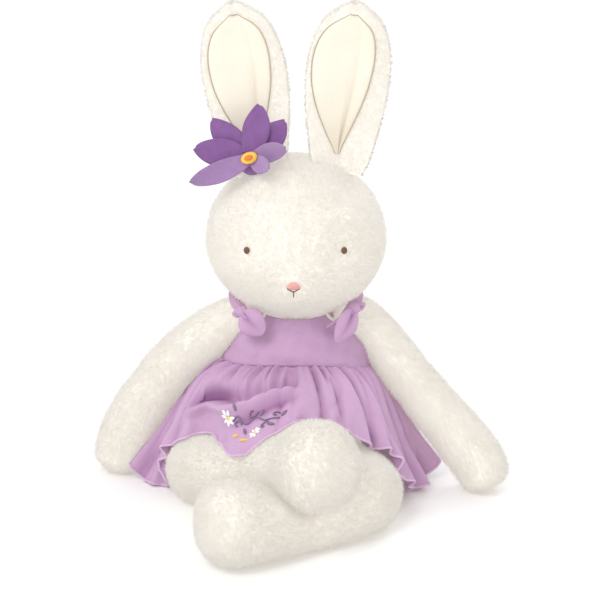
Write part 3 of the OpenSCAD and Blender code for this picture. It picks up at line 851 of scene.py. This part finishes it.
def bodice_panel(facing, rows=44, cols=110):
    """Rings whose half width and depth are read off at each height; they narrow above the waist."""
    rise = np.linspace(0, 1, rows)[:, None]
    share = np.linspace(-1, 1, cols)[None]
    half = np.radians(93 - 47 * ease((rise - 0.12) / 0.95))
    turn = np.radians(facing) + half * share
    base = seam_height(turn) - 1.5
    z = base + (BODICE_TOP + 0.6 * share**2 - base) * rise
    width, depth = (np.interp(z, BODICE[:, 0], BODICE[:, k]) for k in (1, 2))
    pull = 0.8 * np.sin(9 * turn + 5 * rise + 1) * np.sin(np.pi * rise) + 0.4 * np.sin(23 * turn - 7 * rise)
    slant = 0.9 * np.sin(5 * share + 9 * rise) * ease(rise / 0.3) * ease((1 - rise) / 0.3)
    puff = pull * 0.6 + slant + 0.35 * np.sin(66 * turn) * np.exp(-rise / 0.06)
    return np.stack([(width + puff) * np.sin(turn), -(depth + puff) * np.cos(turn), z], -1)


for name, facing in (("bodice_front", 0), ("bodice_back", 180)):
    panel = mesh_object(name + "_panel", cloth(bodice_panel(facing), COTTON), LILAC)
    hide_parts(name)
    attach(panel, "torso")

# %% [markdown]
# ## Skirt
# The skirt is one gathered sheet, sewn to the waist all round. Its hem is a loop through chosen places: over
# the crossed knee and shin in front, down to the floor in a wing at each side, and round the back.

# %% The hem and the fall of the cloth
HEM = np.array([[0, 90, 3], [-45, 78, 3], [-75, 44, 3], [-83, 14, 3], [-92, -3, 2.5], [-105, -7, 5],
                [-116, -8, 9], [-111, -15, 3], [-102, -18, 2], [-93, -25, 2], [-94, -30, 18],
                [-92, -35, 34], [-78, -48, 47], [-60, -56, 55], [-52, -76, 55], [-46, -96, 56],
                [-38, -112, 60], [-26, -113, 67], [-14, -108, 74], [3, -98, 80], [16, -92, 74],
                [30, -84, 70], [44, -78, 58], [56, -72, 50], [65, -66, 45], [72, -64, 32],
                [78, -56, 18], [84, -34, 4], [95, -14, 6], [98, -2, 12], [94, 8, 16], [89, 18, 5],
                [75, 44, 3], [45, 78, 3]], float)


def round_loop(points, count):
    """Even steps round a smooth closed curve through the points."""
    looped = np.vstack([points[-2:], points, points[:3]])
    inside = np.linspace(2, len(points) + 2, 40 * len(points) + 1) / (len(looped) - 1)
    line = along(looped, inside)
    far = np.concatenate([[0], np.cumsum(np.linalg.norm(np.diff(line, axis=0), axis=1))])
    even = np.linspace(0, far[-1], count, endpoint=False)
    return np.stack([np.interp(even, far, line[:, k]) for k in range(3)], 1), far[-1]


def settle(values, width, period=None):
    """A running mean round a loop; values that climb by one period a turn stay climbing."""
    n = len(values)
    wide = np.concatenate([values[-width:] - (period or 0), values, values[:width] + (period or 0)])
    return np.convolve(wide, np.ones(2 * width + 1) / (2 * width + 1), mode="valid")[:n]


WALL = ([-180, -120, -90, -60, -30, 0, 30, 60, 90, 130, 180],
        [80, 80, 86, 86, 96, 96, 84, 76, 76, 80, 80])


def skirt_surface(rows=64, cols=600):
    """Columns fall from waist to hem on a cubic curve: out over the lap, down a wall, out at the hem.

    The wall's distance from the middle is read off at each column's angle from the front."""
    hem, around = round_loop(HEM[::-1], cols)
    turn = np.unwrap(np.arctan2(hem[:, 0], -hem[:, 1]))
    turn = settle(turn, 14, 2 * np.pi * np.sign(turn[-1] - turn[0]))
    degrees = np.degrees((turn + np.pi) % (2 * np.pi) - np.pi)
    wall = settle(np.interp(degrees, *WALL), 10)[:, None]
    waist = np.stack([51.5 * np.sin(turn), -40.5 * np.cos(turn), seam_height(turn)], -1)
    reach = np.linalg.norm(hem[:, :2], axis=1, keepdims=True)
    start = np.linalg.norm(waist[:, :2], axis=1, keepdims=True)
    far = np.minimum(reach * 0.98, wall)
    drop = waist[:, 2:] - hem[:, 2:]
    near_way, far_way = waist[:, :2] / start, hem[:, :2] / reach
    second = np.hstack([near_way * (start + 0.62 * (far - start)), waist[:, 2:] - 1.5 - 0.04 * drop])
    third = np.hstack([far_way * far, hem[:, 2:] + 0.46 * drop])
    u = np.linspace(0, 1, rows)[:, None, None]
    grid = waist * (1 - u) ** 3 + 3 * second * u * (1 - u) ** 2 + 3 * third * u**2 * (1 - u) + hem * u**3
    return grid, around, degrees


skirt_grid, hem_length, column_turn = skirt_surface()
print("hem length", round(hem_length), "mm")

# %% [markdown]
# Folds start as fine gathers at the waist, join into a few deep flutes lower down, and end in the tight
# waves of a lettuce hem, where the serging stretched the edge. Then the cloth is pushed clear of the legs,
# arms and floor.

# %% Folds and contact
def push_clear(points, path, margin):
    """Moves points inside a limb to its surface plus a margin, straight away from its middle line."""
    line = along(path, np.linspace(0, 1, 120))
    flat = points.reshape(-1, 3)
    gap = np.linalg.norm(flat[:, None] - line[None, :, :3], axis=-1) - line[None, :, 3]
    near = gap.argmin(1)
    depth = margin - gap[np.arange(len(flat)), near]
    way = unit(flat - line[near, :3])
    flat = flat + way * np.maximum(depth, 0)[:, None]
    return flat.reshape(points.shape)


def folded(grid):
    """The grid with gathers, flutes, waves and the flap's crest added along its normals, and its painted shade.

    The phases wander round the loop, so that no two folds are alike."""
    rows, cols = grid.shape[:2]
    u = np.linspace(0, 1, rows)[:, None]
    a = circle(cols)
    wander = 0.5 * np.sin(3 * a + 1) + 0.35 * np.sin(7 * a + 4) + 0.2 * np.sin(11 * a)
    gathers = np.sin(58 * a + 5 * wander) * 0.9 + np.sin(37 * a + 6 * wander + 2)
    broad = np.abs(np.sin(8 * a + 4 * wander + 0.8 * u)) ** 0.6
    flutes = broad + 0.6 * np.abs(np.sin(13 * a - 3 * wander + 2 - 1.2 * u)) ** 0.7
    wing = np.exp(-(((np.abs(column_turn + 4) - 86) / 20) ** 2))
    lettuce = (np.sin(36 * a + 6 * wander) + 0.5 * np.sin(53 * a + 1)) * (1 - 0.5 * wing)
    waves = lettuce + 2.9 * wing * np.sin(27 * a + 1.5)
    height = gathers * (1 - np.exp(-u / 0.02)) * np.exp(-((u / 0.34) ** 2)) * 1.5
    height = height + (flutes - 1.0) * 6.0 * ease(u / 0.35) * (1 - 0.4 * u)
    height = height + waves * 2.4 * ease((u - 0.66) / 0.34) ** 1.3
    flap = ease((column_turn + 66) / 16) * ease((4 - column_turn) / 10)
    ridge = 0.64 - 0.20 * (column_turn + 40) / 40
    crest = 8 * np.exp(-(((u - ridge) / 0.06) ** 2))
    crest = crest - 9 * np.exp(-(((u - ridge + 0.18) / 0.10) ** 2))
    height = height * (1 - 0.6 * flap * ease((u - 0.3) / 0.2)) + crest * flap
    # Painted shadow behind the crest on the far side and below it on the near side, and painted shade in the
    # fold valleys, less of it on the flap and at the hem.
    far_side = ease((-34 - column_turn) / 14)
    behind = 0.75 * far_side * flap * np.exp(-(((u - ridge + 0.13) / 0.09) ** 2))
    below = 0.6 * (1 - far_side) * flap * np.exp(-(((u - ridge - 0.12) / 0.06) ** 2))
    below = below * ease((column_turn + 34) / 16)
    shade = np.clip((0.4 - height) / 8, 0, 0.75) * (1 - 0.7 * flap) + 1.2 * behind + 1.2 * below
    shade = np.clip(shade, 0, 1) * (1 - 0.5 * ease((u - 0.85) / 0.15))
    return grid + grid_normals(grid, True) * height[..., None], shade


skirt_grid, skirt_shade = folded(skirt_grid)
for path, margin in ((RIGHT_LEG, 4.0), (LEFT_LEG, 4.0), (RIGHT_ARM, 3.5), (LEFT_ARM, 3.5)):
    skirt_grid = push_clear(skirt_grid, path, margin)
height = skirt_grid[..., 2]
skirt_grid[..., 2] = np.where(height < 3, 1 + 2 * np.exp((height - 3) / 2), height)
# The inner side of the skirt gets more painted shade than the outer side.
skirt_painted_shade = np.concatenate([skirt_shade.ravel(), 0.35 + 0.5 * skirt_shade.ravel()])
skirt = mesh_object("skirt", cloth(skirt_grid, COTTON, wrap=True), LILAC, skirt_painted_shade)
sides = grid_normals(skirt_grid, True)
area = cell_areas(skirt_grid).sum()
print("skirt area", round(area), "mm2, mean length", round(area / hem_length))

# %% [markdown]
# The hem is overlocked: thread wraps round the raw edge in close loops. One thin cord along the edge with a
# ridge for each loop gives that look, and a second cord covers the seam at the waist.

# %% Serged hem and waist seam
def wrapped_cord(line, radius, loops, cols=8):
    """A closed cord along a loop of points, its radius swelling a little at each wrap of thread."""
    ahead = unit(np.roll(line, -1, 0) - np.roll(line, 1, 0))
    wraps = np.linspace(0, 2 * np.pi * loops, len(line), endpoint=False)
    grid = rings(line, ahead, SKEW, radius * (1 + 0.22 * np.sin(wraps))[:, None, None], cols)
    index = np.arange(grid.shape[0] * cols).reshape(-1, cols)
    return [(grid.reshape(-1, 3), quads(np.vstack([index, index[:1]]), True))]


def refine(line, times):
    """A closed line with more points, straight between the old ones."""
    n = len(line)
    spots = np.linspace(0, n, n * times, endpoint=False)
    round_again = np.vstack([line, line[:1]])
    return np.stack([np.interp(spots, np.arange(n + 1), round_again[:, k]) for k in range(3)], 1)


edge = refine(skirt_grid[-1] - sides[-1] * COTTON / 2, 3)
serging = mesh_object("hem_serging", wrapped_cord(edge, 0.85, 600), SERGE)
seam = skirt_grid[0].copy()
seam[:, :2] *= 1.006
seam_cord = wrapped_cord(refine(seam, 2), 0.8, 160)
# The waist cord gets painted shade all along, 0.55 of the way to the shade tone.
waist = mesh_object("waist_seam", seam_cord, LILAC, np.full(len(seam_cord[0][0]), 0.55))
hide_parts("waistband")
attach(waist, "torso")
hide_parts("skirt_front", "skirt_back")
for piece in (skirt, serging):
    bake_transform(piece)

# %% [markdown]
# ## Straps, knots and ties
# A strap goes over each shoulder and is tied in front: a small knot, with the two ends lying on the bodice
# like leaves. Each end is a folded piece of the same cotton, so it is thick, crowned and creased down its
# middle.

# %% Straps
STRAP_W = 9.0


def strap_surface(side, rows=60, cols=10):
    """A ribbon over the shoulder: a low crown across, carried along an arch from front to back."""
    path = [[side * 23, -29, 122], [side * 32, -33, 130], [side * 40, -26, 137], [side * 42, -9, 140],
            [side * 39, 9, 138], [side * 33, 25, 129], [side * 26, 31, 119]]
    line = along(path, np.linspace(0, 1, rows))
    ahead = unit(np.gradient(line, axis=0))
    across = unit(np.cross(ahead, np.array([0, 0, 1.0])))
    s = np.linspace(1, -1, cols)[None, :, None]
    out = unit(np.cross(across, ahead))[:, None]
    return line[:, None] + s * (STRAP_W / 2) * across[:, None] + out * (0.5 * np.cos(3.1 * s))


for name, side in (("right_strap", -1), ("left_strap", 1)):
    strap = mesh_object(name + "_ribbon", cloth(strap_surface(side), 1.4), LILAC)
    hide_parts(name)
    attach(strap, "torso")

# %% Knots and ties
def knot_surface(centre, radius, seed, rows=26, cols=32):
    """A ball creased by two wraps of cloth that cross over it."""
    way = ball((0, 0, 0), 1, rows, cols)
    wrap = np.abs(np.sin(4.5 * (way[..., 0] + 0.5 * way[..., 2]) + seed)) ** 0.5
    return np.asarray(centre, float) + way * (radius * (0.82 + 0.2 * wrap))[..., None] * [1.15, 0.8, 1]


TIE_ROWS, TIE_COLS = 40, 24


def tie_surface(root, tip, width, out):
    """A leaf-shaped folded end: widest at two fifths, creased down the middle, curved off the bodice."""
    t = np.linspace(0.004, 0.996, TIE_ROWS)[:, None, None]
    turn = circle(TIE_COLS)[..., None]
    root, tip, out = (np.asarray(v, float) for v in (root, tip, out))
    axis = tip - root
    across = unit(np.cross(out, axis))
    shape = np.sin(np.pi * t**0.8) ** 0.55
    s = -np.cos(turn)
    crease = -1.8 * np.exp(-((s / 0.2) ** 2)) * (np.sin(turn) > 0) * np.exp(-((t / 0.7) ** 2))
    lift = (1.4 * np.sin(turn) + crease + 2.2 * np.sin(np.pi * t) - 1.2 * s**2) * shape
    return root + axis * t + s * width / 2 * shape * across + lift * unit(out)


def tie_painted_shade():
    """Painted shade in a tie end's middle crease: a bell across it that fades along it."""
    t = np.linspace(0, 1, TIE_ROWS)[:, None]
    turn = circle(TIE_COLS)
    depth = np.exp(-((np.cos(turn) / 0.22) ** 2)) * (np.sin(turn) > 0) * np.exp(-((t / 0.6) ** 2))
    return np.append(depth.ravel(), [0, 0])


KNOTS = {"right": ((-37, -32, 134), [((-37, -34, 134), (-22, -41, 121), 20),
                                     ((-37, -31, 133), (-44, -29, 131), 6)]),
         "left": ((40, -31, 136), [((40, -33, 136), (28, -43, 115), 16),
                                   ((41, -31, 136), (48, -26, 138), 6)])}
for side, (centre, ends) in KNOTS.items():
    knot = mesh_object(f"{side}_tied_knot", closed(knot_surface(centre, 4.2, 1.3)), LILAC)
    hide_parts(f"{side}_knot")
    leaves = [patch for root, tip, width in ends
              for patch in closed(tie_surface(root, tip, width, (root[0] * 0.012, -1, 0.25)))]
    # Each tie end gets painted shade in its middle crease.
    tie = mesh_object(f"{side}_tie_leaves", leaves, LILAC, np.tile(0.9 * tie_painted_shade(), len(ends)))
    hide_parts(f"{side}_tie")
    for piece in (knot, tie):
        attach(piece, "torso")

# %% [markdown]
# ## Embroidery on the skirt
# Two daisies and a curling vine are stitched on the cloth over the crossed leg. Each stitch lies on the
# skirt's own surface: its place is a row and a column of the grid, and the normal there says which way is
# out.

# %% Stitches on the cloth
def on_skirt(rows, cols, lift=0.3):
    """Points and normals at fractional rows and columns of the skirt, from the corners of each cell."""
    rows, cols = np.atleast_1d(rows).astype(float), np.atleast_1d(cols).astype(float)
    i, j = np.clip(rows.astype(int), 0, skirt_grid.shape[0] - 2), cols.astype(int)
    shares = (rows - i)[:, None], (cols - j)[:, None]
    out = unit(between(sides, i, j, *shares))
    return between(skirt_grid, i, j, *shares) + out * lift, out


MOTIF = (46.0, 276.0)
ROW_STEP, COLUMN_STEP = 1.5, 0.92


def motif_place(x, y):
    """Row and column for a place x mm along the hem and y mm up from the motif's centre."""
    return MOTIF[0] - np.asarray(y) / ROW_STEP, MOTIF[1] - np.asarray(x) / COLUMN_STEP


def stitched_leaf(x, y, angle, length, width, threads=9):
    """A pod of stitches centred at x, y and pointing along an angle from the hem's direction."""
    row, col = motif_place(np.array([x, x + np.cos(angle)]), np.array([y, y + np.sin(angle)]))
    spots, outs = on_skirt(row, col)
    leaf = pod(length, width, 0.7, threads, 20, 10, 2, 0.8)
    return closed(placed(leaf, spots[0], spots[1] - spots[0], outs[0]))


def daisy(x, y, size):
    """Seven stitched petals, evenly round a centre."""
    petals = []
    for k in range(7):
        angle = 2 * np.pi * k / 7 + 0.3
        petals += stitched_leaf(x + 0.62 * size * np.cos(angle), y + 0.62 * size * np.sin(angle), angle,
                                size * 0.86, size * 0.42, 6)
    return petals


def stem(xs, ys, radius):
    """A stitched line through places, laid on the cloth."""
    line = along(np.stack([xs, ys], 1), np.linspace(0, 1, 60))
    spots, _ = on_skirt(*motif_place(line[:, 0], line[:, 1]), lift=0.4)
    return closed(tube(spots, radius))


daisies = []
DAISIES = {"large_daisy": (-18, 6, 6.2), "small_daisy": (9, -9, 4.2)}
for name, (x, y, size) in DAISIES.items():
    flower = mesh_object("stitched_" + name, daisy(x, y, size), WHITE)
    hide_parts(name)
    heart = stitched_leaf(x, y, 0.2, size * 0.5, size * 0.5, 5)
    middle = mesh_object("stitched_" + name + "_middle", heart, GOLD)
    daisies += [flower, middle]
    for piece in (flower, middle):
        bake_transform(piece)

STEM_R = 0.55
curl = np.linspace(0, 1.6 * np.pi, 9)
vine_patches = stem([-14, -8, 0, 8, 16, 26], [4, 9, 3, 6, -1, -4], STEM_R)
for x, y, size, turn in ((-7, 2, 4.2, 1), (5, 11, 4, -1), (15, -6, 3.4, 1), (23, 2, 3, 1)):
    vine_patches += stem(x + size * np.cos(curl) * (1 - curl / 8),
                         y + turn * size * np.sin(curl) * (1 - curl / 8), STEM_R)
for x, y, angle in ((-9, 14, 1.9), (1, -4, -1.2), (12, 9, 1.2), (20, -9, -0.8), (29, -2, 0.8)):
    vine_patches += stitched_leaf(x, y, angle, 6, 2.4)
vine = mesh_object("stitched_vine", vine_patches, VIOLET)
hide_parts("stitched_scroll")
sprig_leaves = stitched_leaf(-6, -8, 0.3, 7, 1.8) + stitched_leaf(2, -12, 0.1, 7, 1.8)
sprig = mesh_object("stitched_sprig", sprig_leaves, GOLD)
for piece in (vine, sprig):
    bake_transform(piece)

# %% [markdown]
# ## Felt flower
# Two die-cut layers of felt are sewn to the head by an oval of golden stitches. Felt keeps its thickness to
# the edge, and each pointed petal has its own curl, because a hand bent it.

# %% Petals
FLOWER = np.array([-30.5, -25.0, 240.5])
flower_out = unit(np.array([-0.15, -0.95, 0.27]))
flower_right = unit(np.cross(flower_out, np.array([0, 0, -1.0])))
flower_up = np.cross(flower_out, flower_right)


def petal(direction, length, lift, curl, base, width, rows=34, cols=14):
    """A pointed petal: half width rises fast and falls to a blunt point; lift grows faster than the reach."""
    t = np.linspace(0, 1, rows)[:, None, None]
    s = np.linspace(1, -1, cols)[None, :, None]
    a = np.radians(direction)
    way = np.cos(a) * flower_right + np.sin(a) * flower_up
    side = np.cross(flower_out, way)
    half = width / 2 * np.sin(np.pi * (0.16 + 0.83 * t**1.2)) ** 0.62
    ripple = 0.5 * np.sin(6 * t + direction) + 0.35 * np.sin(11 * t + 3 * s + direction)
    out = base + lift * t**1.6 + curl * s * t + 1.5 * s**2 * np.sin(np.pi * t) + ripple * t
    twist = 0.10 * np.sin(2.2 * t + direction) * length * t
    return FLOWER + way * (2 + (length - 2) * t) + side * (half * s + twist * 0.35) + flower_out * out


FELT_T = 1.3
# The front layer uses the paler felt: painted light on the petals whose tops face the light.
LAYERS = {"flower_back_petals": (FELT, 0.0, (0.066, 0.062), 0.0023,
                                 [(48, 34, 1, 1, 0, 18), (139, 37, -1, -1, 0.2, 18),
                                  (170, 38, 2, 1.5, 1.4, 19), (80, 36, 1, 1.2, 2.0, 18)]),
          "flower_front_petals": (FELT_PAINTED_LIGHT, 3.2, (0.060, 0.045), 0.0013,
                                  [(14, 27, 12, 5, 0, 12), (210, 41, 10, -5, 0.6, 13.5),
                                   (332, 17, 15, 4, 0.3, 12)])}
for name, (finish, base, flat, area, petals) in LAYERS.items():
    patches = []
    for direction, length, lift, curl, level, width in petals:
        patches += cloth(petal(direction, length, lift, curl, base + level, width), FELT_T)
    layer = mesh_object("felt_" + name, patches, finish)
    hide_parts(name)
    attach(layer, "head")

pad_grid = placed(pod(17, 17, 7, 1, 30, 30, 2, 0.5), FLOWER - flower_out * 4 - [0, -3, 4], flower_right,
                  flower_out + [0, 0.3, 0.5])
pad = mesh_object("felt_pad", closed(pad_grid), FELT)
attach(pad, "head")

slant = flower_right + 0.35 * flower_up
oval = placed(pod(11.5, 8, 2.2, 17, 60, 24), FLOWER + flower_out * 5.5, slant, flower_out)
centre = mesh_object("golden_oval", closed(oval), GOLD)
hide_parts("flower_centre")
heart = placed(pod(6.4, 4.2, 1.6, 9, 40, 18), FLOWER + flower_out * 7.0, slant, flower_out)
core = mesh_object("orange_heart", closed(heart), ORANGE)
for piece in (centre, core):
    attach(piece, "head")

# %% [markdown]
# ## Floor, light and camera
# The bunny sits on a pale floor that runs out of sight. A bright sky lights it from all round, one broad
# lamp from above and in front gives shape, and a weaker one behind lightens the edges.

# %% Stage
floor_mesh = bpy.data.meshes.new("floor")
floor_mesh.from_pydata([(-6, -4, 0), (6, -4, 0), (6, 9, 0), (-6, 9, 0)], [], [(0, 1, 2, 3)])
floor = bpy.data.objects.new("floor", floor_mesh)
bpy.context.scene.collection.objects.link(floor)
paper = Finish("floor_paper", 0.6, {"Specular IOR Level": 0.2})
cloud = paper.ramp(paper.noise(3, 2), 0.3, 0.7)
paper.set("Base Color", paper.mix(cloud, (0.93, 0.93, 0.93, 1), (0.95, 0.95, 0.95, 1)))
floor_mesh.materials.append(paper.material)

world = bpy.data.worlds.new("studio")
bpy.context.scene.world = world
world.use_nodes = True
sky = world.node_tree.nodes["Background"].inputs
sky["Color"].default_value = (1, 1, 1, 1)
sky["Strength"].default_value = 1.0


def lamp(name, place, target, size, power):
    """A square soft light that faces a target."""
    light = bpy.data.lights.new(name, "AREA")
    light.size, light.energy = size, power
    thing = bpy.data.objects.new(name, light)
    bpy.context.scene.collection.objects.link(thing)
    thing.location = place
    thing.rotation_euler = (Vector(target) - Vector(place)).to_track_quat("-Z", "Y").to_euler()


lamp("key", (-0.9, -1.4, 1.7), (0, 0, 0.12), 0.9, 16)
lamp("rim", (0.9, 1.2, 1.3), (0, 0, 0.15), 0.8, 8)
print("stage set")

# %% Camera
LOOK_DOWN = np.radians(18)
DISTANCE, HALF_VIEW = 1.5, 0.21
camera = bpy.data.objects.new("camera", bpy.data.cameras.new("camera"))
bpy.context.scene.collection.objects.link(camera)
camera.data.sensor_width = 36
camera.data.angle = 2 * np.arctan(HALF_VIEW / DISTANCE)
target = Vector((0.0028, 0, 0.132))
away = Vector((0, -np.cos(LOOK_DOWN), np.sin(LOOK_DOWN)))
camera.location = target + away * DISTANCE
camera.rotation_euler = (-away).to_track_quat("-Z", "Y").to_euler()
bpy.context.scene.camera = camera
bpy.context.scene.view_settings.view_transform = "Standard"
